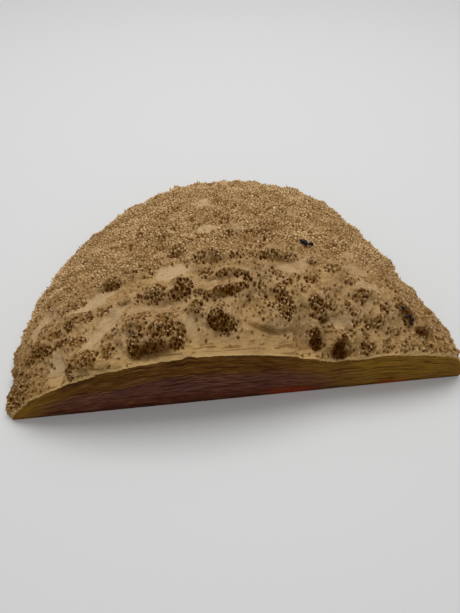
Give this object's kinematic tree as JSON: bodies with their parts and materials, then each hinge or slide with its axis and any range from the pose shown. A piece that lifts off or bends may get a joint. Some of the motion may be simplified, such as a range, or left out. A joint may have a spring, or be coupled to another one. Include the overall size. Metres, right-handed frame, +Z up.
{
  "type": "sawn burl cap",
  "caption": "Half of a domed burl cap: flat sawn underside, one flat sawn side and a barkless domed skin with knobs and short woody spikes.",
  "frame": {"origin": "middle of the part's box, in the plane of the sawn underside", "axes": "+X along the upright sawn side, +Y from the sawn side towards the domed back, +Z up from the underside to the crown"},
  "size_m": [0.3521, 0.2452, 0.085],
  "materials": {
    "burl_wood": "raw barkless burl wood: tan spiky skin with cream valleys, ochre to maroon sawn faces, matt"
  },
  "bodies": {
    "root": {"burl": "burl_wood"}
  },
  "joints": []
}
